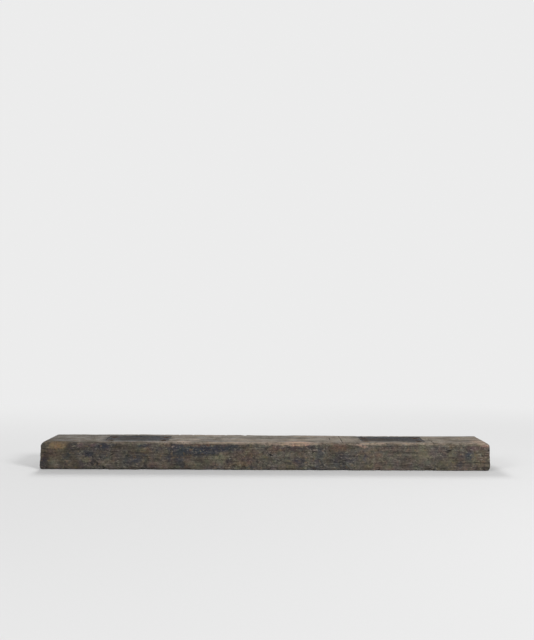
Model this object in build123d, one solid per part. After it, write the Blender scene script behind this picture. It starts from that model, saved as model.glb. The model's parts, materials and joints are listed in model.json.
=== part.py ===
from build123d import *
import math
import os

# A used timber railway sleeper: one sawn baulk, lying rail side up.
# X runs along the sleeper, Y across it and Z up. The origin is the middle of the underside. Millimetres.

# The sawn baulk
length = 2600
width = 260
height = 160
left_end_rake = 10

# The round log that it was sawn from: the pith lies low in the section, so only the top arrises are waney
pith_height = 55
wane_stations = 9
wane_front_left = 13
wane_front_right = 7
wane_back_left = 6
wane_back_right = 15
log_crook = 4

# Corners worn round in the track, seen from the side, and the long arrises
left_top_wear = 26
left_bottom_wear = 9
right_top_wear = 22
right_bottom_wear = 18
arris_wear = 5

# Rail seats: the beds that two base plates have pressed into the top, and their screw holes
rail_spacing = 1500
plate_length = 370
plate_width = 160
bed_depth = 4
bed_corner = 8
screw_spacing_x = 310
screw_spacing_y = 100
screw_hole_diameter = 24
screw_hole_depth = 128
drain_hole_diameter = 17

# Drying checks: wedge-shaped splits along the grain. Each gives where its mouth is, how far it runs,
# and how wide and deep it is at its widest. End checks point at the pith.
check_tip_opening = 0.6
check_tip_depth = 3
check_wander = 3
check_waves = 1.3
check_steps = 7
end_check_reach = 0.85
overshoot = 6

bed_level = height - bed_depth
left_end = -length / 2
right_end = length / 2
front = -width / 2
back = width / 2


def side_profile():
    """The sleeper's outline seen from the front, with its worn corners."""
    corners = [
        (Vector(left_end, 0, 0), left_bottom_wear),
        (Vector(right_end, 0, 0), right_bottom_wear),
        (Vector(right_end, 0, height), right_top_wear),
        (Vector(left_end + left_end_rake, 0, height), left_top_wear),
    ]
    face = make_face(Polyline([point for point, wear in corners], close=True))
    for point, wear in corners:
        face = fillet(face.vertices().sort_by_distance(point)[0], wear)
    return face


def baulk():
    """The sawn timber with every arris worn."""
    body = extrude(side_profile(), amount=width / 2, both=True)
    outlines = body.edges().filter_by(lambda e: abs(abs(e.center().Y) - width / 2) < 0.01)
    return fillet(outlines, arris_wear)


def log():
    """The round log around the baulk. Where it is too thin to fill a top corner, its surface is the wane."""
    rise = height - pith_height
    reach = math.hypot(width / 2, rise)
    rings = []
    for station in range(wane_stations):
        share = station / (wane_stations - 1)
        wane_front = wane_front_left + (wane_front_right - wane_front_left) * share
        wane_back = wane_back_left + (wane_back_right - wane_back_left) * share
        crook = log_crook * math.sin(2 * math.pi * share)
        shift = (wane_front - wane_back) * reach / width + crook
        radius = math.hypot(width / 2 + shift, rise) - wane_front
        x = left_end - overshoot + (length + 2 * overshoot) * share
        rings.append(Plane(origin=(x, shift, pith_height), z_dir=(1, 0, 0)) * Circle(radius))
    return loft(rings, ruled=True)


def check_cutter(start, end, inward, opening, depth, widest):
    """A wedge cut into the surface from start to end, widest and deepest at that share of its run."""
    along = (end - start).normalized()
    across = along.cross(inward).normalized()
    sections = []
    for step in range(check_steps):
        share = step / (check_steps - 1)
        full = 1 - abs(share - widest) / max(widest, 1 - widest)
        half_open = (check_tip_opening + (opening - check_tip_opening) * full) / 2
        deep = check_tip_depth + (depth - check_tip_depth) * full
        sway = check_wander * math.sin(2 * math.pi * check_waves * share)
        mouth = start + (end - start) * share + across * sway
        rim = mouth - inward * overshoot
        flare = across * half_open * (deep + overshoot) / deep
        sections.append(make_face(Polyline([rim + flare, mouth + inward * deep, rim - flare], close=True)))
    return loft(sections, ruled=True)


def end_check(end_x, mouth_y, mouth_z, run, opening):
    """A split that runs in from an end, open from the surface nearly to the pith."""
    outward = math.copysign(1, end_x)
    start = Vector(end_x + outward * overshoot, mouth_y, mouth_z)
    to_pith = Vector(start.X, 0, pith_height) - start
    depth = to_pith.length * end_check_reach
    return check_cutter(start, start - Vector(outward * run, 0, 0), to_pith.normalized(), opening, depth, widest=0)


def face_check(middle, run, inward, opening, depth):
    """A split in the middle of a face, closed at both ends."""
    half_run = Vector(run / 2, 0, 0)
    return check_cutter(middle - half_run, middle + half_run, inward, opening, depth, widest=0.5)


def drying_checks():
    down, up, forward = Vector(0, 0, -1), Vector(0, 0, 1), Vector(0, -1, 0)
    return [
        end_check(right_end, front, 48, run=190, opening=4),
        end_check(right_end, 38, height, run=330, opening=6),
        end_check(right_end, back, 92, run=130, opening=4),
        end_check(left_end, front, 96, run=130, opening=3),
        end_check(left_end, -22, height, run=300, opening=5),
        end_check(left_end, back, 64, run=240, opening=6),
        face_check(Vector(-60, 24, height), 760, down, opening=5, depth=42),
        face_check(Vector(70, -66, height), 400, down, opening=3, depth=20),
        face_check(Vector(-260, back, 74), 620, forward, opening=4, depth=34),
        face_check(Vector(560, back, 108), 480, forward, opening=3, depth=22),
        face_check(Vector(-250, 20, 0), 520, up, opening=4, depth=26),
        face_check(Vector(180, -28, 0), 700, up, opening=4, depth=30),
    ]


def rail_seat(middle_x):
    """One plate's bed in the top, four screw holes in it, and the narrow bores that drain them."""
    bed = Pos(middle_x, 0, bed_level) * RectangleRounded(plate_length, plate_width, bed_corner)
    cut = extrude(bed, amount=bed_depth + overshoot)
    screw_hole = Cylinder(screw_hole_diameter / 2, screw_hole_depth, align=(Align.CENTER, Align.CENTER, Align.MAX))
    drain_bore = Cylinder(drain_hole_diameter / 2, bed_level, align=(Align.CENTER, Align.CENTER, Align.MAX))
    for place in GridLocations(screw_spacing_x, screw_spacing_y, 2, 2):
        cut += Pos(middle_x, 0, bed_level) * place * (screw_hole + drain_bore)
    return cut


def sleeper():
    timber = baulk() & log()
    timber -= [rail_seat(-rail_spacing / 2), rail_seat(rail_spacing / 2)]
    timber -= drying_checks()
    return timber


os.makedirs("parts", exist_ok=True)
export_step(sleeper(), "parts/sleeper.step")
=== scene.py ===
import json
import math
import random
import bmesh
import bpy
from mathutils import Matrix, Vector


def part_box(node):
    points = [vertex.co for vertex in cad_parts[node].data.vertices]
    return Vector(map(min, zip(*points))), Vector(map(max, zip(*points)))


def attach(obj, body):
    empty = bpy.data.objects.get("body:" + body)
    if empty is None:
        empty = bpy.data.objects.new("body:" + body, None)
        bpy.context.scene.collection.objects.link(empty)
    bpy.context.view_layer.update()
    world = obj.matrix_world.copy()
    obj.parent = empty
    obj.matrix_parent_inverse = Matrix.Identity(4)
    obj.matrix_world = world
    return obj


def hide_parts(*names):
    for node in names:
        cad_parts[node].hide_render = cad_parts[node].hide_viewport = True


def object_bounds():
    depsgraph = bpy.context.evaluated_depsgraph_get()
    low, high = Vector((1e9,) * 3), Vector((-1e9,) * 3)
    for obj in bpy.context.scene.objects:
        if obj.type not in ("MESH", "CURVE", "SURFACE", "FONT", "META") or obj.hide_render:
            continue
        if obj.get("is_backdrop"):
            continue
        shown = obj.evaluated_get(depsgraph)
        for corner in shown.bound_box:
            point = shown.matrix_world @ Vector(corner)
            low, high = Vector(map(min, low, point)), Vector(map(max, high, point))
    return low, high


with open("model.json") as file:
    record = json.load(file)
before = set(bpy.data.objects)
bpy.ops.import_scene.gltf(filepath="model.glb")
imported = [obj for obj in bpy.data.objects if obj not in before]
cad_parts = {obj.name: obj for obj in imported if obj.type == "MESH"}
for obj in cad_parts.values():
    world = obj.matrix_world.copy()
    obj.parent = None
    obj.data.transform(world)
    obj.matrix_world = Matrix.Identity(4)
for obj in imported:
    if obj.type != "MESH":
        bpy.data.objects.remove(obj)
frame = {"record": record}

# A used railway sleeper of creosoted timber, seen a little from above.
# Metres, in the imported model's own frame: X along the sleeper, Y across it and Z up, with the origin in the
# middle of the underside.

cadBox = [list(corner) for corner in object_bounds()]
_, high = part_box("sleeper")
halfLength, halfWidth, height = high.x, high.y, high.z
seatMounts = [mount for mount in frame["record"]["mounts"] if mount["kind"] == "bolt_pattern"]
seats = [Vector(mount["pos_m"]) for mount in seatMounts]
bedLevel = seats[0].z
pattern = seatMounts[0]["dims"]
millimetres = 1000  # in a metre
screwReachX = pattern["spacing_x_mm"] / 2 / millimetres
screwReachY = pattern["spacing_y_mm"] / 2 / millimetres
screwRadius = pattern["hole_r_mm"] / millimetres
screwPlaces = [(seat.x + sideX * screwReachX, seat.y + sideY * screwReachY)
               for seat in seats for sideX in (-1, 1) for sideY in (-1, 1)]

scene = bpy.context.scene
scene.view_settings.view_transform = "Standard"


# Nodes are wired up by sums: a Wire is one output of a node, and what is done with it adds more nodes.

class Wire:
    def __init__(self, tree, socket):
        self.tree = tree
        self.socket = socket

    def calc(self, operation, *others):
        return add(self.tree, "ShaderNodeMath", dict(enumerate((self,) + others)), operation=operation)

    def __add__(self, other):
        return self.calc("ADD", other)

    def __sub__(self, other):
        return self.calc("SUBTRACT", other)

    def __mul__(self, other):
        return self.calc("MULTIPLY", other)

    def __truediv__(self, other):
        return self.calc("DIVIDE", other)

    def __rsub__(self, other):
        return (self * -1) + other

    __radd__ = __add__
    __rmul__ = __mul__

    def least(self, other):
        return self.calc("MINIMUM", other)

    def most(self, other):
        return self.calc("MAXIMUM", other)

    def size(self):
        return self.calc("ABSOLUTE")

    def ramp(self, start, end, first=0, last=1):  # smooth from first at start to last at end
        inputs = {"Value": self, "From Min": start, "From Max": end, "To Min": first, "To Max": last}
        return add(self.tree, "ShaderNodeMapRange", inputs, interpolation_type="SMOOTHSTEP")

    def bump(self, middle, half):  # 1 at the middle and 0 from half that far either side
        return (self - middle).size().ramp(0, half, 1, 0)

    def parts(self):  # the x, y and z of a vector
        node = self.tree.nodes.new("ShaderNodeSeparateXYZ")
        feed(node.inputs[0], self)
        return [Wire(self.tree, socket) for socket in node.outputs]

    def vector(self, operation, *others):
        inputs = dict(enumerate((self,) + others))
        return add(self.tree, "ShaderNodeVectorMath", inputs, operation=operation)

    def stretch(self, x, y, z):
        return self.vector("MULTIPLY", joined(self.tree, x, y, z))

    def moved(self, other):
        return self.vector("ADD", other)

    def scaled(self, amount):
        return add(self.tree, "ShaderNodeVectorMath", {0: self, 3: amount}, operation="SCALE")


def feed(socket, value):
    if isinstance(value, Wire):
        socket.id_data.links.new(value.socket, socket)
    else:
        socket.default_value = value


def add(tree, kind, inputs=None, out=0, **settings):
    node = tree.nodes.new(kind)
    for name, value in settings.items():
        setattr(node, name, value)
    for name, value in (inputs or {}).items():
        feed(node.inputs[name], value)
    return Wire(tree, node.outputs[out])


def joined(tree, x, y, z):
    return add(tree, "ShaderNodeCombineXYZ", {"X": x, "Y": y, "Z": z})


def hypot(a, b):
    return (a * a + b * b).calc("SQRT")


def noise(place, scale, detail=2, roughness=0.5, out=0):
    inputs = {"Vector": place, "Scale": scale, "Detail": detail, "Roughness": roughness}
    return add(place.tree, "ShaderNodeTexNoise", inputs, out=out)


def mottle(place, scale, roughness=0.7, detail=5):  # finely broken noise
    return noise(place, scale, detail, roughness)


def heaped(heights, **layers):  # the layers one on another, each as high, or as deep, as it says
    return sum(layer * heights[name] for name, layer in layers.items())


def shaken(place, scale, amount):  # the place moved about by noise, so that a pattern's outlines are ragged
    colour = noise(place, scale, detail=3, out="Color")
    return place.moved(colour.moved((-0.5, -0.5, -0.5)).scaled(amount))


def cells(place, scale, feature="F1", out=0):
    inputs = {"Vector": place, "Scale": scale}
    return add(place.tree, "ShaderNodeTexVoronoi", inputs, out=out, feature=feature)


# Geometry node trees: each has an input for every value of its piece's dictionary

def newTree(name, sizes):
    tree = bpy.data.node_groups.new(name, "GeometryNodeTree")
    tree.interface.new_socket("Geometry", in_out="INPUT", socket_type="NodeSocketGeometry")
    tree.interface.new_socket("Geometry", in_out="OUTPUT", socket_type="NodeSocketGeometry")
    entry = tree.nodes.new("NodeGroupInput")
    kinds = {float: "NodeSocketFloat", int: "NodeSocketInt"}
    for label, value in sizes.items():
        entrance = tree.interface.new_socket(label, in_out="INPUT", socket_type=kinds[type(value)])
        entrance.default_value = value
    return tree, {socket.name: Wire(tree, socket) for socket in entry.outputs if socket.name}


def endTree(tree, shape, material):
    whole = add(tree, "GeometryNodeRealizeInstances", {0: shape})
    painted = add(tree, "GeometryNodeSetMaterial", {"Geometry": whole, "Material": material})
    feed(tree.nodes.new("NodeGroupOutput").inputs[0], painted)
    return tree


# A block from -1 to 1 each way, with so many points along each side
def gridBlock(tree, along, across, up):
    inputs = {"Size": (2, 2, 2), "Vertices X": along, "Vertices Y": across, "Vertices Z": up}
    block = add(tree, "GeometryNodeMeshCube", inputs)
    return block, add(tree, "GeometryNodeInputPosition").parts()


def placed(tree, shape, x, y, z):
    return add(tree, "GeometryNodeSetPosition", {"Geometry": shape, "Position": joined(tree, x, y, z)})


def stored(tree, shape, name, value, kind="FLOAT"):
    inputs = {"Geometry": shape, "Name": name, "Value": value}
    return add(tree, "GeometryNodeStoreNamedAttribute", inputs, domain="POINT", data_type=kind)


def recalled(tree, name, kind="FLOAT"):
    return add(tree, "GeometryNodeInputNamedAttribute", {"Name": name}, data_type=kind)


# The plain mesh that a tree makes, from nothing or from a given mesh
def shapedBy(tree, name, sizes, start=None):
    carrier = bpy.data.objects.new(name, start or bpy.data.meshes.new(name))
    scene.collection.objects.link(carrier)
    modifier = carrier.modifiers.new("shape", "NODES")
    modifier.node_group = tree
    for item in tree.interface.items_tree:
        if item.in_out == "INPUT" and item.name in sizes:
            modifier[item.identifier] = sizes[item.name]
    settle(carrier)
    return carrier


def settle(piece):  # turns what the piece's modifiers make into its plain mesh
    bpy.context.view_layer.update()
    graph = bpy.context.evaluated_depsgraph_get()
    shown = piece.evaluated_get(graph)
    mesh = bpy.data.meshes.new_from_object(shown, preserve_all_data_layers=True, depsgraph=graph)
    piece.modifiers.clear()
    piece.data = mesh
    mesh.name = piece.name


# Takes the cutter out of the piece, and leaves the cutter's material on the cut
def cutAway(piece, cutter, stage):
    modifier = piece.modifiers.new("cut", "BOOLEAN")
    modifier.operation = "DIFFERENCE"
    modifier.solver = "MANIFOLD"
    modifier.object = cutter
    modifier.material_mode = "TRANSFER"
    settle(piece)
    bpy.data.objects.remove(cutter)
    report(piece, stage)


def withoutSparePoints(piece):  # a cut leaves points on many-sided faces that join only two edges
    shape = bmesh.new()
    shape.from_mesh(piece.data)
    spare = [point for point in shape.verts if len(point.link_edges) == 2]
    bmesh.ops.dissolve_verts(shape, verts=spare)
    shape.to_mesh(piece.data)
    shape.free()


def report(piece, stage):
    piece.data.calc_loop_triangles()
    print(f"{stage}: {len(piece.data.loop_triangles)} triangles")


def pointMesh(name, points):
    mesh = bpy.data.meshes.new(name)
    mesh.from_pydata(points, [], [])
    return mesh


# The camera stands where the photograph was taken from.
view = dict(
    longSide=640,  # of the picture, in pixels
    focalPixels=625,
    sensor=36,
    place=(0.0105, -3.733, 0.827),
    upTilt=0.6,  # degrees
    roll=-0.22,
)
camera = bpy.data.cameras.new("camera")
camera.sensor_width = view["sensor"]
camera.lens = view["sensor"] * view["focalPixels"] / view["longSide"]
cameraObject = bpy.data.objects.new("camera", camera)
cameraObject.location = view["place"]
cameraObject.rotation_euler = (math.radians(90 + view["upTilt"]), math.radians(view["roll"]), 0)
scene.collection.objects.link(cameraObject)
scene.camera = cameraObject
print("camera placed")


# The sleeper: a sawn baulk with worn corners, wane along its top arrises, and a weathered skin.
form = {
    "Length": 2 * halfLength,
    "Width": 2 * halfWidth,
    "Height": height,
    "Points Along": 430,
    "Points Across": 50,
    "Points Up": 36,
    "Left End Rake": 0.01,
    "Left Top Wear": 0.026,
    "Left Bottom Wear": 0.009,
    "Right Top Wear": 0.022,
    "Right Bottom Wear": 0.018,
    "Arris Wear": 0.005,
    "Pith Height": 0.055,
    "Wane Front Left": 0.013,
    "Wane Front Right": 0.007,
    "Wane Back Left": 0.006,
    "Wane Back Right": 0.015,
    "Log Crook": 0.004,
    "Wave Depth": 0.0018,
    "Grain Depth": 0.0014,
    "Bruise Depth": 0.0055,
    "Nick Depth": 0.0026,
    "Chip Depth": 0.0065,
    "Seed": 3.0,
}
handWear = dict(  # along the front: the middle in x, the reach and the depth
    rubs=((1.285, 0.065, 0.015), (0.19, 0.11, 0.009), (0.48, 0.06, 0.006), (-0.42, 0.13, 0.005)),
    chips=((0.455, 0.045, 0.008), (0.655, 0.018, 0.007), (0.845, 0.045, 0.007), (-0.7, 0.06, 0.005)),
)
skin = dict(
    crowding=(0.15, 0.4, 0.4),  # how far the points crowd to the edges, along, across and up
    unevenWear=(0.8, 2.6),  # the least and the most of the arris wear, as shares of it
    rakedReach=0.1,  # how far from the left end its rake is lost
    edgeBand=(0.004, 0.024),
    grainStretch=(2.2, 60, 60),
    bruiseSizes=(0.038, 0.017),  # the large and the small prints of the ballast
    pitSize=0.0085,
    rotDepth=0.003,  # of the end grain
    endsSpared=0.6,  # how much less the ballast has struck the ends
)
tiny = 1e-6  # keeps a division away from nought


# How far a point near a square corner goes in, both ways, to round the corner
def pulledIn(toEdgeA, toEdgeB, radius):
    reachA, reachB = (radius - toEdgeA).most(0), (radius - toEdgeB).most(0)
    shrink = 1 - reachA.most(reachB) / hypot(reachA, reachB).most(tiny)
    return reachA * shrink, reachB * shrink


def closer(share, crowding):  # moves even steps from -1 to 1 together towards both ends
    return share * (1 - crowding) + (share * (math.pi / 2)).calc("SINE") * crowding


def handWorn(x, marks):
    total = x * 0
    for middle, reach, depth in marks:
        total = total + x.bump(middle, reach) * depth
    return total


def sleeperTree(material):
    tree, size = newTree("sawn sleeper", form)
    halfL, halfW, tall = size["Length"] * 0.5, size["Width"] * 0.5, size["Height"]
    block, (x, y, z) = gridBlock(tree, size["Points Along"], size["Points Across"], size["Points Up"])
    x, y, z = (closer(share, crowding) for share, crowding in zip((x, y, z), skin["crowding"]))
    x, y, z = x * halfL, y * halfW, (z + 1) * 0.5 * tall
    # worn arrises: the long ones, then the upright ones at the ends
    uneven = noise(joined(tree, x, y, z), 7, detail=3).ramp(0.35, 0.7, *skin["unevenWear"])
    worn = size["Arris Wear"] * uneven
    side, end = y.calc("SIGN"), x.calc("SIGN")
    toTop, toFloor, toSide, toEnd = tall - z, z, halfW - y.size(), halfL - x.size()
    rubbed = worn + handWorn(x, handWear["rubs"]) * y.ramp(0.02, -0.02)
    inTop, downTop = pulledIn(toSide, toTop, rubbed)
    inFloor, upFloor = pulledIn(toSide, toFloor, worn)
    inSide, inEnd = pulledIn(toSide, toEnd, worn)
    x, y, z = x - end * inEnd, y - side * (inTop + inFloor + inSide), z - downTop + upFloor
    # corners worn round, seen from the side
    for whichEnd, wear, upward in ((-1, "Left Top Wear", -1), (-1, "Left Bottom Wear", 1),
                                   (1, "Right Top Wear", -1), (1, "Right Bottom Wear", 1)):
        inward, vertical = pulledIn(halfL - x * whichEnd, tall - z if upward < 0 else z, size[wear])
        x, z = x - inward * whichEnd, z + vertical * upward
    x = x + size["Left End Rake"] * (z / tall) * (x + halfL).ramp(0, skin["rakedReach"], 1, 0)
    y, z = insideLog(size, x, y, z, halfW, tall)
    body = weathered(tree, placed(tree, block, x, y, z), size, halfW, tall)
    return endTree(tree, add(tree, "GeometryNodeSetShadeSmooth", {"Geometry": body}), material)


# The round log is too thin to fill the top arrises: they are waney
def insideLog(size, x, y, z, halfW, tall):
    share = x / size["Length"] + 0.5
    waneFront = size["Wane Front Left"] * (1 - share) + size["Wane Front Right"] * share
    waneBack = size["Wane Back Left"] * (1 - share) + size["Wane Back Right"] * share
    rise = tall - size["Pith Height"]
    crook = size["Log Crook"] * (share * (2 * math.pi)).calc("SINE")
    shift = (waneFront - waneBack) * hypot(halfW, rise) / size["Width"] + crook
    radius = hypot(halfW + shift, rise) - waneFront
    across, up = y - shift, z - size["Pith Height"]
    kept = (radius / hypot(across, up).most(tiny)).least(1)
    return shift + across * kept, size["Pith Height"] + up * kept


# The angular print of a stone in some of the cells: 0 on sound timber and 1 at the print's floor
def bruises(place, reach):
    spot = shaken(shaken(place, 0.45 / reach, reach * 0.6), 2.5 / reach, reach * 0.25)
    rim = cells(spot, 1 / reach, feature="DISTANCE_TO_EDGE").ramp(0.02, 0.3)
    return rim * cells(spot, 1 / reach, out="Color").parts()[0].ramp(0.45, 1)


def seeded(place, seed):
    return place.moved(joined(place.tree, seed, seed, seed))


# The skin worn inwards, and what the colours need to know of it
def weathered(tree, body, size, halfW, tall):
    raw = add(tree, "GeometryNodeInputPosition")
    place = seeded(raw, size["Seed"])
    normal = add(tree, "GeometryNodeInputNormal")
    x, y, z = raw.parts()
    normalX, _, normalZ = normal.parts()
    endGrain, topSide = normalX.size().ramp(0.5, 0.9), normalZ.ramp(0.5, 0.9)
    edge = hypot(halfW - y.size(), (tall - z).least(z)).ramp(*skin["edgeBand"], 1, 0)
    waves = noise(place.stretch(1, 3, 3), 3).ramp(0.3, 0.7) * size["Wave Depth"]
    alongGrain = shaken(place, 3, 0.02).stretch(*skin["grainStretch"])
    grain = noise(alongGrain, 1, detail=3, roughness=0.6).ramp(0.35, 0.65)
    # the ballast has struck the sides here and there, the top less and the ends least
    patchy = noise(place, 6, detail=3)
    struckSides, struckTop = patchy.ramp(0.38, 0.6, 0.25, 1), patchy.ramp(0.5, 0.64, 0, 0.4)
    struck = (struckSides * (1 - topSide) + struckTop * topSide) * (1 - endGrain * skin["endsSpared"])
    large, small = (bruises(place, reach) * struck for reach in skin["bruiseSizes"])
    splintered = noise(shaken(place, 45, 0.014).stretch(1, 1.6, 1.6), 24, detail=4, roughness=0.65)
    broken = splintered.ramp(0.44, 0.52) * handWorn(x, handWear["chips"]) * z.ramp(0.03, 0.01)
    chips = (splintered.ramp(0.55, 0.64) * size["Chip Depth"] + broken) * edge
    rot = noise(place, 30, detail=4, roughness=0.65).ramp(0.35, 0.7) * endGrain * skin["rotDepth"]
    depth = waves + grain * (1 - endGrain) * size["Grain Depth"] + chips + rot
    depth = depth + large * size["Bruise Depth"] + small * size["Nick Depth"]
    body = add(tree, "GeometryNodeSetPosition", {"Geometry": body, "Offset": normal.scaled(depth * -1)})
    for name, value in (("edge", edge), ("endGrain", endGrain), ("struck", struck), ("hollow", large)):
        body = stored(tree, body, name, value)
    return body


# Two beds, which the base plates have pressed into the top
bed = {
    "Length": 0.37,
    "Width": 0.16,
    "Corner": 0.008,
    "Floor": bedLevel,
    "Rim": height + 0.006,
    "Rim Wear": 0.0022,
    "Pressed Grain": 0.0018,
    "Points Along": 90,
    "Points Across": 40,
    "Seed": 11.0,
}
bedCrowding = 0.3  # how far the points crowd to the bed's rim


# A plate-shaped block above the bed's floor, which prints its uneven lower side into the timber
def bedTree(material):
    tree, size = newTree("plate beds", bed)
    block, (x, y, z) = gridBlock(tree, size["Points Along"], size["Points Across"], 2)
    halfL, halfW = size["Length"] * 0.5, size["Width"] * 0.5
    x, y = closer(x, bedCrowding) * halfL, closer(y, bedCrowding) * halfW
    inEnd, inSide = pulledIn(halfL - x.size(), halfW - y.size(), size["Corner"])
    x, y = x - x.calc("SIGN") * inEnd, y - y.calc("SIGN") * inSide
    place = seeded(joined(tree, x, y, z), size["Seed"])
    upper = z.ramp(-0.9, 0.9)
    ragged = noise(place, 22, detail=4).ramp(0.3, 0.7, 0.3, 2.2)
    spread = upper * size["Rim Wear"] * ragged
    x, y = x + x.calc("SIGN") * spread, y + y.calc("SIGN") * spread
    pressed = noise(shaken(place, 5, 0.02).stretch(4, 70, 1), 1).ramp(0.35, 0.65)
    bruised = noise(place, 14, detail=3).ramp(0.45, 0.75)
    floor = size["Floor"] - (pressed + bruised) * size["Pressed Grain"]
    level = floor * (1 - upper) + size["Rim"] * upper
    cutter = placed(tree, block, x, y, level)
    beds = add(tree, "GeometryNodeInstanceOnPoints", {"Points": size["Geometry"], "Instance": cutter})
    return endTree(tree, beds, material)


# Four screw holes in each bed
screwHole = {
    "Radius": screwRadius,
    "Depth": 0.128,
    "Thread Pitch": 0.0125,
    "Thread Height": 0.0009,
    "Mouth Wear": 0.004,
    "Drain Radius": 0.0085,
    "Mouth": bedLevel,
    "Past The Ends": 0.008,
    "Sides": 20,
    "Rings": 36,
}
mouthCrowding = 1.7  # how far the rings crowd to the mouth
mouthReach = (-0.001, 0.009)  # how far down the mouth is worn
drainStep = (-0.006, 0.002)  # where the hole narrows to the drain bore


# What a coach screw has left: a worn mouth, its thread, and the drain bore below
def screwHoleTree(material):
    tree, size = newTree("screw holes", screwHole)
    core = add(tree, "GeometryNodeMeshCylinder", {"Vertices": size["Sides"], "Side Segments": size["Rings"],
                                                  "Radius": 1, "Depth": 1}, fill_type="NGON")
    x, y, z = add(tree, "GeometryNodeInputPosition").parts()
    top, bottom = size["Mouth"] + size["Past The Ends"], size["Past The Ends"] * -1
    level = top - (top - bottom) * (0.5 - z).most(0).calc("POWER", mouthCrowding)
    turn = y.calc("ARCTAN2", x) / (2 * math.pi)
    tooth = ((level / size["Thread Pitch"] - turn).calc("FRACT") - 0.5).size() * 2
    below = size["Mouth"] - level
    worn = below.ramp(*mouthReach, 1, 0) * size["Mouth Wear"]
    screwed = size["Radius"] + (tooth * 2 - 1) * size["Thread Height"] + worn
    narrow = (below - size["Depth"]).ramp(*drainStep)
    radius = screwed * (1 - narrow) + size["Drain Radius"] * narrow
    cutter = placed(tree, core, x * radius, y * radius, level)
    holes = add(tree, "GeometryNodeInstanceOnPoints", {"Points": size["Geometry"], "Instance": cutter})
    return endTree(tree, holes, material)


# Splits: drying checks along the grain, large and fine, and a few gouges and scores across it
split = {
    "Points Along": 30,
    "Sway": 0.003,
    "Sway Turns": 1.3,
    "Jag": 0.0035,
    "Overshoot": 0.006,
    "Tip Share": 0.12,  # of the full opening and depth, left at a split's tips
}
fineSplit = {**split, "Points Along": 14}
shortSplit = {**split, "Points Along": 9, "Sway": 0.0006, "Jag": 0.0012, "Tip Share": 0.6}
splitShape = dict(
    jagStretch=(14, 9, 9),
    taperPower=0.8,  # how bluntly the opening and the depth taper to the tips
    depthPower=1.5,
    wallPower=1.25,  # how hollow the walls are
    bottomShare=0.06,  # of the opening, left at the bottom
)
endReach = 0.85  # how far an end check runs towards the pith
fineChecks = dict(
    seed=7,
    perFace=dict(front=6, back=7, top=9, underside=5),
    run=(0.07, 0.38),
    opening=(0.0009, 0.0018),
    depth=(0.006, 0.012),
    slope=0.03,
    gap=0.016,
    endMouths=(  # where fine end checks open, across and up
        (-halfWidth, 0.122), (-halfWidth, 0.02), (halfWidth, 0.03), (halfWidth, 0.132), (-0.085, height),
        (0.092, height), (-0.072, 0), (0.048, 0),
    ),
    endRun=(0.03, 0.11),
    endReach=(0.25, 0.65),
    endOpening=(0.0012, 0.0024),
)
down, up, forward, backward = Vector((0, 0, -1)), Vector((0, 0, 1)), Vector((0, -1, 0)), Vector((0, 1, 0))


def endCheck(end, acrossMouth, upMouth, run, opening, reach=endReach):
    start = Vector((end * (halfLength + split["Overshoot"]), acrossMouth, upMouth))
    inward = (Vector((start.x, 0, form["Pith Height"])) - start) * reach
    return dict(start=start, along=Vector((-end * run, 0, 0)), inward=inward, opening=opening, widest=0)


def faceCheck(middle, run, inward, opening, depth, slope=0):
    across = Vector((1, 0, 0)).cross(inward)
    along = Vector((run, 0, 0)) + across * run * slope
    start = Vector(middle) - along / 2
    return dict(start=start, along=along, inward=inward * depth, opening=opening, widest=0.5)


def score(x, fromY, toY, opening, depth):  # straight across the top
    start, along = Vector((x, fromY, height)), Vector((0, toY - fromY, 0))
    return dict(start=start, along=along, inward=down * depth, opening=opening, widest=0.5)


largeChecks = [
    endCheck(1, -halfWidth, 0.048, 0.19, 0.004),
    endCheck(1, 0.038, height, 0.33, 0.006),
    endCheck(1, halfWidth, 0.092, 0.13, 0.004),
    endCheck(-1, -halfWidth, 0.096, 0.13, 0.003),
    endCheck(-1, -0.022, height, 0.3, 0.005),
    endCheck(-1, halfWidth, 0.064, 0.24, 0.006),
    faceCheck((-0.06, 0.024, height), 0.76, down, 0.005, 0.042),
    faceCheck((0.07, -0.066, height), 0.4, down, 0.003, 0.02),
    faceCheck((-0.26, halfWidth, 0.074), 0.62, forward, 0.004, 0.034),
    faceCheck((0.56, halfWidth, 0.108), 0.48, forward, 0.003, 0.022),
    faceCheck((-0.25, 0.02, 0), 0.52, up, 0.004, 0.026),
    faceCheck((0.18, -0.028, 0), 0.7, up, 0.004, 0.03),
]
marks = [
    faceCheck((1.062, -halfWidth, 0.116), 0.02, backward, 0.01, 0.01, slope=0.3),
    faceCheck((0.034, -halfWidth, 0.088), 0.028, backward, 0.01, 0.012, slope=-0.5),
    faceCheck((-0.88, -halfWidth, 0.086), 0.022, backward, 0.009, 0.008, slope=0.5),
    faceCheck((-1.145, -halfWidth, 0.104), 0.05, backward, 0.003, 0.008),
    score(0.45, -0.15, 0.128, 0.0075, 0.007),
    score(0.976, -0.165, 0, 0.0085, 0.012),
    score(0.385, -0.038, 0.044, 0.0065, 0.006),
]


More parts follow.
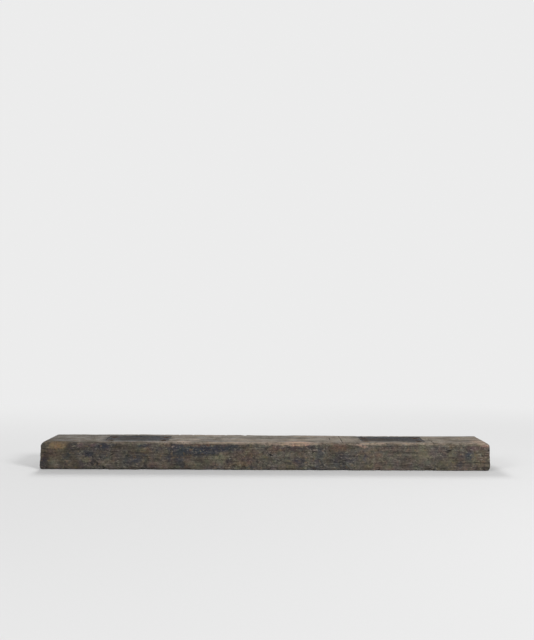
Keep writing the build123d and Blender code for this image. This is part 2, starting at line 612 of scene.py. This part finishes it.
def scatteredChecks():  # fine ones over the four long faces, clear of each other
    chance = random.Random(fineChecks["seed"])
    faces = dict(
        front=(lambda x, s: (x, -halfWidth, s), backward, 0.014, height - 0.016),
        back=(lambda x, s: (x, halfWidth, s), forward, 0.014, height - 0.018),
        top=(lambda x, s: (x, s, height), down, -halfWidth + 0.02, halfWidth - 0.02),
        underside=(lambda x, s: (x, s, 0), up, -halfWidth + 0.015, halfWidth - 0.015),
    )
    found = []
    for face, (mouth, inward, lowest, highest) in faces.items():
        taken = []
        for check in largeChecks:
            start, along = check["start"], check["along"]
            if check["inward"].normalized().dot(inward) > 0.5:
                taken.append((start.x + along.x / 2, start.y if inward.z else start.z, abs(along.x)))
        wanted = len(taken) + fineChecks["perFace"][face]
        while len(taken) < wanted:
            run = chance.uniform(*fineChecks["run"])
            x = chance.uniform(run / 2 + 0.03 - halfLength, halfLength - run / 2 - 0.03)
            aside = chance.uniform(lowest, highest)
            if all(abs(x - otherX) > (run + otherRun) / 2 or abs(aside - otherSide) > fineChecks["gap"]
                   for otherX, otherSide, otherRun in taken):
                opening = chance.uniform(*fineChecks["opening"])
                depth = chance.uniform(*fineChecks["depth"])
                slope = chance.uniform(-1, 1) * fineChecks["slope"]
                taken.append((x, aside, run))
                found.append(faceCheck(mouth(x, aside), run, inward, opening, depth, slope))
    for end in (-1, 1):
        for acrossMouth, upMouth in fineChecks["endMouths"]:
            run, reach = chance.uniform(*fineChecks["endRun"]), chance.uniform(*fineChecks["endReach"])
            opening = chance.uniform(*fineChecks["endOpening"])
            found.append(endCheck(end, acrossMouth, upMouth, run, opening, reach))
    return found


def splitTree(material):
    tree, size = newTree("splits", split)
    wedge = add(tree, "GeometryNodeMeshCube", {"Size": (1, 2, 2), "Vertices X": size["Points Along"],
                                               "Vertices Y": 2, "Vertices Z": 3})
    wedge = stored(tree, wedge, "local", add(tree, "GeometryNodeInputPosition"), "FLOAT_VECTOR")
    wedges = add(tree, "GeometryNodeInstanceOnPoints", {"Points": size["Geometry"], "Instance": wedge})
    wedges = add(tree, "GeometryNodeRealizeInstances", {0: wedges})
    run, side, level = recalled(tree, "local", "FLOAT_VECTOR").parts()
    run = run + 0.5
    start, along, inward = (recalled(tree, name, "FLOAT_VECTOR") for name in ("start", "along", "inward"))
    opening, widest = recalled(tree, "opening"), recalled(tree, "widest")
    across = along.vector("CROSS_PRODUCT", inward).vector("NORMALIZE")
    reach = add(tree, "ShaderNodeVectorMath", {0: inward}, out="Value", operation="LENGTH")
    full = 1 - (run - widest).size() / widest.most(1 - widest)
    taper = full.calc("POWER", splitShape["taperPower"]) * (1 - size["Tip Share"]) + size["Tip Share"]
    line = start.moved(along.scaled(run))
    jagged = (noise(line.stretch(*splitShape["jagStretch"]), 1, detail=3) - 0.5) * 2
    aside = (run * size["Sway Turns"] * (2 * math.pi)).calc("SINE") * size["Sway"] + jagged * size["Jag"]
    deep = level.ramp(-1, 1, 1, 0)  # 0 at the rim, 0.5 half way, 1 at the bottom
    rim = size["Overshoot"] / reach  # how far the rim stands above the surface
    lowered = deep.calc("POWER", splitShape["depthPower"]) * (1 + rim) - rim
    narrowing = (1 - deep).calc("POWER", splitShape["wallPower"]).most(splitShape["bottomShare"])
    halfOpen = opening * 0.5 * taper * narrowing * (1 + rim)
    place = line.moved(across.scaled(side * halfOpen + aside)).moved(inward.scaled(lowered * taper))
    wedges = add(tree, "GeometryNodeSetPosition", {"Geometry": wedges, "Position": place})
    return endTree(tree, wedges, material)


def splitMesh(name, splits):  # one point for each split, which carries its numbers
    mesh = pointMesh(name, [one["start"] for one in splits])
    for key in ("start", "along", "inward"):
        layer = mesh.attributes.new(key, "FLOAT_VECTOR", "POINT")
        layer.data.foreach_set("vector", [number for one in splits for number in one[key]])
    for key in ("opening", "widest"):
        mesh.attributes.new(key, "FLOAT", "POINT").data.foreach_set("value", [one[key] for one in splits])
    return mesh


# Materials

def tone(red, green, blue):  # a screen colour, 0 to 255, as the linear colour that nodes use
    return tuple(((value / 255 + 0.055) / 1.055) ** 2.4 for value in (red, green, blue)) + (1,)


tones = dict(
    tar=tone(40, 38, 37),
    blueTar=tone(49, 53, 62),
    plum=tone(92, 74, 75),
    brown=tone(79, 71, 62),
    greyBrown=tone(91, 86, 78),
    # the grey of the dust on the bed rims, and of the sheen painted on the beds' fronts
    dustAndSheenGrey=tone(105, 106, 107),
    olive=tone(100, 94, 76),
    paleOlive=tone(118, 111, 94),
    tan=tone(138, 113, 83),
    redBrown=tone(99, 76, 63),
    dust=tone(138, 131, 118),
    greyTop=tone(126, 117, 104),
    paleWorn=tone(164, 146, 129),
    pinkWorn=tone(190, 155, 132),
    endWood=tone(92, 82, 70),
    lateWood=tone(60, 52, 45),
    rust=tone(80, 58, 44),
    # near black for cracks, also painted as shade deep inside the timber, in the splits and down the screw
    # holes
    crackAndShade=tone(20, 18, 18),
)


# A share of the tint over the base colour: each is a wire or the name of a tone
def mix(base, tint, share):
    node = share.tree.nodes.new("ShaderNodeMix")
    node.data_type = "RGBA"
    for socket, value in ((0, share), (6, base), (7, tint)):
        feed(node.inputs[socket], tones[value] if isinstance(value, str) else value)
    return Wire(share.tree, node.outputs[2])


def newMaterial(name, roughness=0.8, specular=0.25):
    material = bpy.data.materials.new(name)
    material.use_nodes = True
    surface = material.node_tree.nodes["Principled BSDF"]
    surface.inputs["Roughness"].default_value = roughness
    surface.inputs["Specular IOR Level"].default_value = specular
    return material, surface, add(material.node_tree, "ShaderNodeTexCoord", out="Object")


# The colour, the level of the bumps in metres and, where it varies, the roughness
def coat(surface, colour, level, roughness=None):
    feed(surface.inputs["Base Color"], colour)
    if roughness:
        feed(surface.inputs["Roughness"], roughness)
    inputs = {"Height": level, "Distance": 1}
    feed(surface.inputs["Normal"], add(level.tree, "ShaderNodeBump", inputs, out="Normal"))


timberLook = dict(
    ringSpacing=0.0046,
    hueSpread=0.4,  # how far each of red, green and blue strays by itself on the sides
    leftPaintedShade=0.8,  # painted shade: the left end's brightness, as a share of the right end's
    calm=(0.74, 0.44, 0.28),  # where the marks are fainter: the middle in x, the reach, and by how much
    topShareShadedLeft=(0.45, 0.95),  # how much the dry top colour hides the tar: at the left end, held back as painted shade, and on the rest
    topSpared=0.85,  # how much less marked the top is than the sides
    topCalm=0.65,  # and how much less its colours stray
    topPaleness=0.7,
    topStains=0.75,
    # partly wear, partly a painted highlight on the top front arris
    rubbedAndHighlitArris=0.85,
    hollows=0.6,  # how dark the large bruises are
    nicks=0.55,
    pits=0.4,
    darkBlotches=0.55,
    paleBlotches=0.3,
    crushedFlecks=0.62,
    tanFlecks=0.35,
    darkFlecks=0.65,
    bledTar=0.65,
    bledReach=0.03,  # how far the tar has bled from the plate beds
    damp=0.6,
    dusty=0.6,
    hairCracks=0.85,
    insideShade=(0.018, 0.028),  # painted shade: how deep inside the timber it turns dark
    roughness=(0.62, 0.92),
    relief=dict(  # the heights of the bumps
        fibres=0.0009, wide=-0.0012, narrow=-0.0004, hair=-0.0025, rings=0.0003,
        fine=0.0016, pits=-0.0016, nicks=-0.0012, flecks=0.001,
    ),
    clouds=(  # the colour, the scale, where it starts and is full, and its strength
        ("redBrown", 4, 0.53, 0.68, 0.6),
        ("olive", 9, 0.51, 0.66, 0.7),
        ("blueTar", 6.5, 0.52, 0.66, 0.8),
    ),
    # patches: the middle in x and z and the reach each way, in millimetres, the colour and its strength
    frontPatches=(
        (-1194, 142, 68, 28, "tan", 0.8), (-1235, 92, 75, 30, "redBrown", 0.35),
        (-1208, 36, 36, 30, "paleOlive", 0.6), (-1252, 46, 36, 50, "tar", 0.35),
        (-1118, 126, 46, 38, "tar", 0.55), (-1098, 143, 40, 12, "tar", 0.5),
        (-1064, 135, 26, 16, "plum", 0.75), (-1034, 58, 36, 20, "paleOlive", 0.7),
        (-1040, 28, 30, 22, "plum", 0.5), (-1009, 92, 34, 20, "blueTar", 0.95),
        (-990, 138, 30, 10, "plum", 0.6), (-922, 136, 58, 18, "blueTar", 0.85),
        (-935, 120, 50, 14, "blueTar", 0.6), (-930, 75, 36, 26, "blueTar", 0.6),
        (-920, 44, 62, 24, "paleOlive", 0.6), (-870, 150, 100, 10, "greyTop", 0.75),
        (-785, 58, 45, 44, "blueTar", 0.58), (-704, 138, 36, 11, "blueTar", 0.9),
        (-690, 112, 34, 20, "tan", 0.4), (-590, 121, 75, 12, "blueTar", 0.4),
        (-590, 34, 75, 20, "greyTop", 0.3), (-490, 80, 36, 60, "blueTar", 0.6),
        (-480, 66, 40, 14, "blueTar", 0.35), (-365, 112, 150, 34, "blueTar", 0.95),
        (-200, 124, 80, 24, "blueTar", 0.85), (-355, 143, 140, 7, "redBrown", 0.75),
        (-475, 24, 16, 14, "blueTar", 0.7), (-410, 34, 46, 16, "paleOlive", 0.55),
        (-270, 60, 90, 36, "paleOlive", 0.8), (-250, 94, 36, 12, "paleOlive", 0.25),
        (-200, 40, 22, 22, "blueTar", 0.7), (-115, 80, 100, 46, "redBrown", 0.45),
        (-130, 34, 85, 20, "tan", 0.35), (50, 116, 34, 24, "redBrown", 0.6),
        (165, 124, 110, 14, "plum", 0.7), (190, 120, 140, 15, "tar", 0.45),
        (275, 126, 32, 13, "tar", 0.5), (205, 56, 42, 22, "blueTar", 0.5),
        (312, 90, 30, 70, "blueTar", 0.5), (430, 130, 70, 22, "redBrown", 0.65),
        (455, 58, 85, 48, "blueTar", 0.5), (570, 98, 40, 14, "tan", 0.25),
        (680, 122, 110, 12, "redBrown", 0.3), (690, 50, 80, 24, "tar", 0.15),
        (900, 105, 85, 42, "paleOlive", 0.26), (1000, 90, 50, 70, "blueTar", 0.3),
        (1120, 86, 26, 18, "tar", 0.45), (1128, 34, 24, 22, "blueTar", 0.5),
        (1177, 94, 34, 34, "blueTar", 0.8), (1205, 128, 55, 18, "plum", 0.7),
        (1172, 124, 40, 12, "tar", 0.35), (1250, 80, 50, 60, "brown", 0.6),
        (1250, 108, 50, 34, "tar", 0.25), (1250, 70, 50, 70, "tan", 0.18),
        (1285, 10, 60, 24, "tar", 0.6), (1058, 112, 14, 10, "tar", 0.8),
        (34, 88, 18, 10, "tar", 0.8), (-700, 153, 160, 6, "greyTop", 0.4),
        (90, 152, 130, 9, "paleWorn", 0.75), (195, 148, 95, 12, "pinkWorn", 0.85),
        (556, 142, 36, 10, "pinkWorn", 0.5), (1268, 144, 34, 12, "pinkWorn", 0.55),
    ),
    topPatches=(  # the same, with the middle in x and y
        (200, -114, 85, 24, "pinkWorn", 0.62), (90, -124, 120, 12, "paleWorn", 0.6),
        (600, -115, 80, 20, "greyBrown", 0.4), (730, -112, 190, 24, "greyBrown", 0.4),
        (1255, -80, 60, 60, "pinkWorn", 0.3), (-465, -105, 50, 26, "paleWorn", 0.8),
        (-405, -45, 34, 12, "paleWorn", 0.7), (-190, -118, 75, 14, "paleWorn", 0.8),
        (-640, -118, 120, 10, "paleWorn", 0.35), (-1200, -122, 70, 16, "tan", 0.6),
        (-330, -118, 80, 14, "paleWorn", 0.6), (-60, -118, 80, 14, "paleWorn", 0.6),
    ),
)


def patched(colour, along, across, patches, mask):  # listed patches with ragged outlines
    for *measures, name, strength in patches:
        middleAlong, middleAcross, reachAlong, reachAcross = (number / millimetres for number in measures)
        far = hypot((along - middleAlong) / reachAlong, (across - middleAcross) / reachAcross)
        colour = mix(colour, name, far.ramp(0.4, 1.3, strength, 0) * mask)
    return colour


# Thin cracks side by side, one here and there in each lane
def cracks(across, along, lane, opening, share):
    lanes = across / lane
    number = lanes.calc("FLOOR")
    gape = noise(joined(across.tree, along, number * 7.3, 0), 1).ramp(0.72 - share * 0.4, 0.8)
    wiggle = noise(joined(across.tree, along * 14, number * 3.1, 5), 1, detail=3) - 0.5
    away = (lanes.calc("FRACT") - 0.5 - wiggle * 0.5).size() * lane
    return (gape * opening - away).ramp(0, opening * 0.6)


# Dark lines that wander along the grain, between the ridges of old timber
def grooves(place, along, across, width):
    wander = noise(shaken(place, 3, 0.02).stretch(along, across, across), 1) - 0.5
    return wander.size().ramp(0, width, 1, 0)


def tarryColour(place):  # clouds of brown, grey, olive, red and blue-black
    drier = mottle(place, 6, 0.62).ramp(0.38, 0.6)
    colour = mix("brown", "greyBrown", drier)
    for number, (name, scale, start, end, strength) in enumerate(timberLook["clouds"]):
        ragged = shaken(place.moved((number * 3, 0, 0)), 14, 0.07)
        cloud = mottle(ragged, scale, 0.66)
        colour = mix(colour, name, cloud.ramp(start, end, 0, strength))
    return colour


def dryTopColour(place):  # drier, greyer and paler, streaked along the grain
    broad = mottle(shaken(place, 8, 0.03).stretch(1, 7, 7), 4, 0.66)
    narrow = mottle(place.stretch(1, 16, 16), 3)
    colour = mix("greyBrown", "greyTop", broad.ramp(0.34, 0.54))
    colour = mix(colour, "paleWorn", narrow.ramp(0.48, 0.66, 0, timberLook["topPaleness"]))
    stains = mottle(shaken(place, 14, 0.06).stretch(1, 2.5, 2.5), 6, 0.68)
    return mix(colour, "brown", stains.ramp(0.5, 0.64, 0, timberLook["topStains"]))


def bedDepths(x, y):  # how far inside each plate bed's ends and sides
    return [(bed["Length"] / 2 - (x - seat.x).size(), bed["Width"] / 2 - (y - seat.y).size())
            for seat in seats]


def besideBeds(x, y):  # 1 at the rim of a plate bed, fading outwards
    away = x * 0 + 1
    for inEnd, inSide in bedDepths(x, y):
        away = away.least(hypot(inEnd.least(0), inSide.least(0)))
    return away.ramp(0, timberLook["bledReach"], 1, 0)


def insideBeds(x, y):  # how far inside the rim of a plate bed
    within = x * 0
    for inEnd, inSide in bedDepths(x, y):
        within = within.most(inEnd.least(inSide))
    return within


endLook = dict(
    lateWood=(0.1, 0.5),  # the rings, where the end is sound and where it is worn
    tarred=0.8,
    greyed=0.65,
    dusty=0.55,
    rays=(0.78, 1.15),  # how dark and how bright they make the wood
    hairCracks=0.9,
    relief=dict(rings=0.0006, rays=0.0007, worn=0.003, hair=-0.003),
)


# The sawn end: rings round the pith, rays and hair cracks, tar and dirt
def endGrainLook(place, y, z, rings):
    look = endLook
    fromPith = hypot(y, z - form["Pith Height"])
    turn = y.calc("ARCTAN2", z - form["Pith Height"])
    rays = noise(joined(place.tree, turn * 11, fromPith * 16, 0), 1, detail=6, roughness=0.8)
    radial = cracks(turn * 0.09, fromPith * 9, 0.011, 0.0012, 0.8)
    worn = mottle(shaken(place, 20, 0.03), 14, detail=6)
    tarred = mottle(shaken(place, 9, 0.06), 9, detail=6)
    colour = mix("endWood", "lateWood", rings * worn.ramp(0.35, 0.6, *look["lateWood"]))
    colour = mix(colour, "tar", tarred.ramp(0.42, 0.6, 0, look["tarred"]))
    grey = mottle(place, 24)
    dusty = mottle(place, 60, 0.75)
    colour = mix(colour, "greyBrown", grey.ramp(0.5, 0.66, 0, look["greyed"]))
    colour = mix(colour, "dust", dusty.ramp(0.55, 0.74, 0, look["dusty"]))
    colour = colour.scaled(rays.ramp(0.3, 0.7, *look["rays"]))
    level = heaped(look["relief"], rings=rings, rays=rays, worn=worn, hair=radial)
    return mix(colour, "crackAndShade", radial * look["hairCracks"]), level


def timberMaterial():
    material, surface, raw = newMaterial("weatheredTimber")
    look, tree = timberLook, raw.tree
    x, y, z = raw.parts()
    place = seeded(raw, form["Seed"])
    edge, endGrain, struck, hollow = (add(tree, "ShaderNodeAttribute", out="Fac", attribute_name=name)
                                      for name in ("edge", "endGrain", "struck", "hollow"))
    uneven = (noise(place, 24, detail=4, roughness=0.65) - 0.5) * 0.02
    top = (z + uneven * z.ramp(height - 0.002, height - 0.005)).ramp(height - 0.016, height - 0.004)
    underside = z.ramp(0.006, 0.001)
    frontFace = y.ramp(-halfWidth + 0.03, -halfWidth + 0.014)
    sides = 1 - top * look["topSpared"]
    ragged = shaken(shaken(place, 16, 0.05), 70, 0.014).moved((-form["Seed"],) * 3)
    raggedX, raggedY, raggedZ = ragged.parts()
    colour = patched(tarryColour(place), raggedX, raggedZ, look["frontPatches"], frontFace)
    topColour = patched(dryTopColour(place), raggedX, raggedY, look["topPatches"], top)
    # painted shade: left of the nearer bed the top keeps less of its dry colour
    colour = mix(colour, topColour, top * x.ramp(-0.64, -0.52, *look["topShareShadedLeft"]))
    # rubbed pale along the top front arris: partly wear and partly a painted highlight where the worn arris
    # catches the light, held back left of the nearer bed as painted shade
    rubbed = mottle(place, 5.5).ramp(0.36, 0.56) * x.ramp(-0.64, -0.5, 0.3, 1)
    bright = edge.ramp(0.3, 0.95) * z.ramp(height - 0.034, height - 0.016) * rubbed
    colour = mix(colour, "paleWorn", bright * look["rubbedAndHighlitArris"])
    # ballast bruises: dark hollows, pits, crushed pale flecks and dust
    unmarked = colour
    nicks = bruises(place, skin["bruiseSizes"][1]) * struck
    pits = bruises(place, skin["pitSize"]) * sides
    fine = mottle(place, 95, 0.72)
    flecks = noise(shaken(place, 35, 0.03).stretch(50, 120, 120), 1, detail=4, roughness=0.6)
    hollowed = hollow.ramp(0.05, 0.8, 0, look["hollows"]) * fine.ramp(0.35, 0.6, 0.5, 1)
    colour = mix(colour, "tar", hollowed)
    colour = mix(colour, "tar", nicks.ramp(0.05, 0.7, 0, look["nicks"]) * sides)
    colour = mix(colour, "tar", pits.ramp(0.2, 1, 0, look["pits"]))
    blotches = noise(shaken(place, 30, 0.02), 62, detail=3, roughness=0.6)
    colour = mix(colour, "tar", blotches.ramp(0.47, 0.34, 0, look["darkBlotches"]) * sides)
    colour = mix(colour, "dust", blotches.ramp(0.56, 0.7, 0, look["paleBlotches"]) * sides)
    crushed = flecks.ramp(0.54, 0.66, 0, look["crushedFlecks"]) * struck.ramp(0.2, 0.8, 0.35, 1)
    colour = mix(colour, "dust", crushed)
    specks = noise(shaken(place, 60, 0.01), 48, detail=4)
    colour = mix(colour, "tan", specks.ramp(0.58, 0.7, 0, look["tanFlecks"]))
    colour = mix(colour, "tar", fine.ramp(0.53, 0.68, 0, look["darkFlecks"]))
    middle, reach, fainter = look["calm"]
    colour = mix(colour, unmarked, x.bump(middle, reach) * fainter * sides)
    hues = noise(shaken(place, 22, 0.02), 26, detail=3, roughness=0.55, out="Color")
    spread = (1 - top * look["topCalm"]) * look["hueSpread"]
    colour = colour.vector("MULTIPLY", hues.moved((-0.5,) * 3).scaled(spread).moved((1,) * 3))
    # tar that has bled out from under the plates
    streaky = mottle(place.stretch(1, 3, 3), 20, 0.65).ramp(0.38, 0.58)
    colour = mix(colour, "tar", besideBeds(x, y) * streaky * top * look["bledTar"])
    # the underside is damp and dark, with ballast dust
    damp = noise(place, 7, detail=5).ramp(0.35, 0.58, 0, look["damp"])
    dusty = mottle(place, 18).ramp(0.52, 0.66, 0, look["dusty"])
    colour = mix(mix(colour, "tar", underside * damp), "dust", underside * dusty)
    # the grain: growth rings where the saw has opened them, fibres, grooves and hair cracks
    lumps = (noise(place.stretch(0.9, 6, 6), 1) - 0.5) * 0.03
    lumps = lumps + (noise(place, 26, detail=3) - 0.5) * 0.006
    ringPhase = ((hypot(y, z - form["Pith Height"]) + lumps) / look["ringSpacing"]).calc("FRACT")
    rings = ringPhase.ramp(0.35, 0.92) * ringPhase.ramp(0.94, 1, 1, 0)
    fibres = noise(shaken(place, 6, 0.01).stretch(9, 330, 330), 1, detail=4, roughness=0.7)
    wide = grooves(place, 1.5, 55, 0.045) * noise(place, 9).ramp(0.4, 0.6, 0.25, 1)
    narrow = grooves(place.moved((5, 0, 0)), 3, 140, 0.07)
    drift = noise(place.stretch(1.4, 5, 5), 1, detail=3) * 0.03
    hair = cracks(y + z + drift, x * 3, 0.0095, 0.0015, 0.45)
    shade = fibres.ramp(0.25, 0.75, 0.74, 1.26) * rings.ramp(0, 1, 1.04, 0.9)
    shade = shade * (1 - wide * top.ramp(0, 1, 0.35, 0.55)) * (1 - narrow * 0.25)
    # painted shade: the whole sleeper darkens towards its left end
    colour = colour.scaled(shade * x.ramp(-1.3, 1.1, look["leftPaintedShade"], 1))
    colour = mix(colour, "crackAndShade", hair * look["hairCracks"])
    ends, endLevel = endGrainLook(place, y, z, rings)
    colour = mix(colour, ends, endGrain)
    # painted shade: whatever lies deep inside the timber is darkened
    inside = (halfWidth - y.size()).least(height - z).least(z).least(halfLength - x.size())
    colour = mix(colour, "crackAndShade", inside.ramp(*look["insideShade"]))
    relief = look["relief"]
    along = heaped(relief, fibres=fibres, wide=wide, narrow=narrow, hair=hair, rings=rings)
    level = along * (1 - endGrain) + endLevel * endGrain
    level = level + heaped(relief, fine=fine, pits=pits, nicks=nicks, flecks=flecks)
    coat(surface, colour, level, noise(place, 20, detail=3).ramp(0.35, 0.7, *look["roughness"]))
    return material


insideLook = dict(
    torn=0.6,  # how far the torn walls go towards the late wood
    tornRelief=0.002,
    boredShade=(0.15, 0.95),  # painted shade in the screw holes, at the mouth and deep down
    boredRelief=0.001,
)


# The walls of the splits: wood that has never met the saw, coloured near black as painted shade deep in the
# splits, with torn late wood showing through
def splitMaterial():
    material, surface, place = newMaterial("splitTimber", roughness=0.85)
    torn = noise(place.stretch(7, 90, 90), 1, detail=4, roughness=0.65)
    colour = mix("crackAndShade", "lateWood", torn.ramp(0.35, 0.75, 0, insideLook["torn"]))
    coat(surface, colour, torn * insideLook["tornRelief"])
    return material


pressedLook = dict(
    greased=0.8,
    streaked=0.8,
    scuffed=0.55,
    rimDust=0.45,
    # painted sheen and sky light on the front of each bed
    paintedFrontSheen=0.75,
    rust=0.6,
    grit=0.65,
    paleFlecks=0.4,
    hairCracks=0.8,
    roughness=(0.65, 0.92),
    relief=dict(fibres=0.001, grit=0.001, wide=-0.001, narrow=-0.0004, hair=-0.002),
)


# The beds: wood crushed flat, dark with tar and grease, faintly rusty round the screws
def pressedMaterial():
    material, surface, raw = newMaterial("pressedTimber", specular=0.15)
    look = pressedLook
    x, y, _ = raw.parts()
    place = seeded(raw, bed["Seed"])
    fibres = mottle(shaken(place, 6, 0.012).stretch(8, 240, 60), 1, 0.72)
    wide = grooves(place, 1.8, 60, 0.05)
    narrow = grooves(place.moved((5, 0, 0)), 4, 150, 0.07)
    streaks = mottle(place.stretch(1, 14, 3), 3.5)
    grit = noise(place, 110, detail=4, roughness=0.72)
    greased = mottle(shaken(place, 12, 0.06), 8, 0.66)
    scuffed = mottle(shaken(place, 20, 0.05), 12, detail=6)
    colour = mix("tar", "blueTar", greased.ramp(0.42, 0.66, 0, look["greased"]))
    colour = mix(colour, "brown", streaks.ramp(0.46, 0.64, 0, look["streaked"]))
    colour = mix(colour, "greyBrown", scuffed.ramp(0.54, 0.66, 0, look["scuffed"]))
    # dust has settled along the rim; the paler front of each bed is a painted sheen and painted sky light
    fromRim = insideBeds(x, y) + (mottle(place, 26) - 0.5) * 0.05
    paintedFrontSheen = y.ramp(-0.085, -0.01, look["paintedFrontSheen"], 0) * scuffed.ramp(0.4, 0.6)
    colour = mix(colour, "dustAndSheenGrey", fromRim.ramp(0.001, 0.016, look["rimDust"], 0).most(paintedFrontSheen))
    # rust round the screw holes
    far = x * 0 + 1
    for screwX, screwY in screwPlaces:
        far = far.least(hypot(x - screwX, y - screwY))
    ragged = (mottle(place, 40, detail=6) - 0.5) * 0.05
    stain = (far + ragged).ramp(0.012, 0.034, 1, 0)
    flecks = noise(place, 44, detail=6, roughness=0.78)
    colour = mix(colour, "rust", stain * look["rust"])
    colour = mix(colour, "tar", grit.ramp(0.5, 0.7, 0, look["grit"]))
    colour = mix(colour, "dust", flecks.ramp(0.56, 0.72, 0, look["paleFlecks"]))
    hair = cracks(y + (noise(place, 4) - 0.5) * 0.02, x * 5, 0.011, 0.0014, 0.55)
    shade = fibres.ramp(0.25, 0.75, 0.6, 1.34) * (1 - wide * 0.45) * (1 - narrow * 0.25)
    colour = colour.scaled(shade)
    colour = mix(colour, "crackAndShade", hair * look["hairCracks"])
    level = heaped(look["relief"], fibres=fibres, grit=grit, wide=wide, narrow=narrow, hair=hair)
    coat(surface, colour, level, streaks.ramp(0.35, 0.65, *look["roughness"]))
    return material


# The screw holes, stained by rust from the screws, with painted shade that darkens them with depth
def boredMaterial():
    material, surface, place = newMaterial("boredTimber", roughness=0.85)
    z = place.parts()[2]
    colour = mix("rust", "lateWood", noise(place, 60, detail=4).ramp(0.35, 0.65))
    colour = mix(colour, "crackAndShade", z.ramp(bedLevel - 0.001, bedLevel - 0.022, *insideLook["boredShade"]))
    rough = noise(place.stretch(1, 1, 3), 120, detail=3)
    coat(surface, colour, rough * insideLook["boredRelief"])
    return material


sleeper = shapedBy(sleeperTree(timberMaterial()), "sleeper_timber", form)
report(sleeper, "baulk")
cutAway(sleeper, shapedBy(bedTree(pressedMaterial()), "plateBeds", bed,
                          pointMesh("seats", [(seat.x, seat.y, 0) for seat in seats])), "plate beds")
cutAway(sleeper, shapedBy(screwHoleTree(boredMaterial()), "screwHoles", screwHole,
                          pointMesh("screws", [(x, y, 0) for x, y in screwPlaces])), "screw holes")
splits = splitTree(splitMaterial())
for name, sizes, made in (("largeChecks", split, largeChecks), ("fineChecks", fineSplit, scatteredChecks()),
                          ("marks", shortSplit, marks)):
    cutAway(sleeper, shapedBy(splits, name, sizes, splitMesh(name, made)), name)
withoutSparePoints(sleeper)
report(sleeper, "spare points gone")

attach(sleeper, "root")
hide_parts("sleeper")


# Floor and light: far from the sleeper the floor fades into the backdrop.
studio = dict(
    floorTone=0.68,
    floorHalf=40,
    fadeFrom=0.9,  # how far behind or before the sleeper the floor begins to fade
    fadeTo=3.4,
    sideways=0.65,  # the fade is that much slower along the sleeper
    backdrop=0.84,  # how bright the camera sees the background
    fill=0.4,  # the light from all round
    lamps=(  # where each stands, its size and its power
        ((5.6, -4.7, 4.05), 2, 451),
        ((-5.4, -4.4, 4.05), 2.9, 160),
        ((-1.25, 5, 5.3), 2.5, 231),
    ),
)


def seenPlainly(tree):  # 1 where the camera, or a reflection, sees this
    rays = [add(tree, "ShaderNodeLightPath", out=kind)
            for kind in ("Is Camera Ray", "Is Glossy Ray", "Is Transmission Ray")]
    return (rays[0] + rays[1] + rays[2]).least(1)


def makeFloor():
    half = studio["floorHalf"]
    mesh = bpy.data.meshes.new("floor")
    corners = [(-half, -half, 0), (half, -half, 0), (half, half, 0), (-half, half, 0)]
    mesh.from_pydata(corners, [], [(0, 1, 2, 3)])
    material, surface, place = newMaterial("floor", roughness=0.9)
    surface.inputs["Base Color"].default_value = (studio["floorTone"],) * 3 + (1,)
    x, y, _ = place.parts()
    tree = place.tree
    faded = hypot(x * studio["sideways"], y).ramp(studio["fadeFrom"], studio["fadeTo"]) * seenPlainly(tree)
    plain = add(tree, "ShaderNodeEmission", {"Color": (1, 1, 1, 1), "Strength": studio["backdrop"]})
    lit = Wire(tree, surface.outputs["BSDF"])
    shown = add(tree, "ShaderNodeMixShader", {0: faded, 1: lit, 2: plain})
    feed(tree.nodes["Material Output"].inputs["Surface"], shown)
    mesh.materials.append(material)
    floor = bpy.data.objects.new("floor", mesh)
    scene.collection.objects.link(floor)
    floor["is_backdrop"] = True


def makeLight():
    world = bpy.data.worlds.new("world")
    scene.world = world
    world.use_nodes = True
    sky = world.node_tree.nodes["Background"]
    sky.inputs["Color"].default_value = (1, 1, 1, 1)
    brighter = studio["backdrop"] - studio["fill"]
    feed(sky.inputs["Strength"], seenPlainly(world.node_tree) * brighter + studio["fill"])
    for number, (place, size, power) in enumerate(studio["lamps"]):
        lamp = bpy.data.lights.new(f"softbox{number}", "AREA")
        lamp.size = size
        lamp.energy = power
        lampObject = bpy.data.objects.new(lamp.name, lamp)
        lampObject.location = place
        lampObject.rotation_euler = Vector(place).to_track_quat("Z", "Y").to_euler()
        scene.collection.objects.link(lampObject)


makeFloor()
makeLight()
print("floor and light made")

sizes = [cadBox, [list(corner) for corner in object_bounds()]]
print("sizes", sizes)
